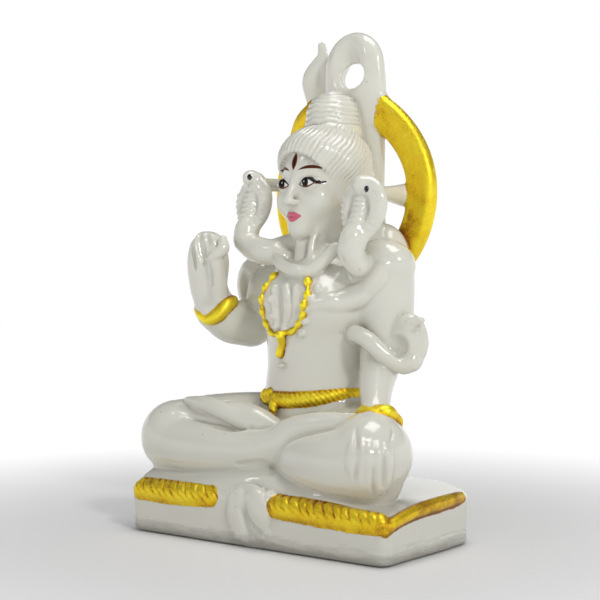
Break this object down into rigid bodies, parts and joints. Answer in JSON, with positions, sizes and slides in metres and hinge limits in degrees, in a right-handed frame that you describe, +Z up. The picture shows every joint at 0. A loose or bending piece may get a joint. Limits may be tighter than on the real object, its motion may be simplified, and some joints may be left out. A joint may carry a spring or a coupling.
{
  "type": "shiva figure",
  "caption": "Seated cross-legged deity figure on a block base, with a ring halo, raised cobras, a raised hand and a tall crest, cast in one piece.",
  "frame": {"origin": "centre of the flat underside of the base block", "axes": "+Z up; -Y towards the front edge of the base, the side with the plaited roll; +X towards the end of the base at the figure's left hand"},
  "size_m": [0.1614, 0.0977, 0.2544],
  "materials": {
    "cast_resin": "glossy white paint on cast resin, with gold painted trim"
  },
  "bodies": {
    "root": {"shiva_figure": "cast_resin"}
  },
  "joints": []
}
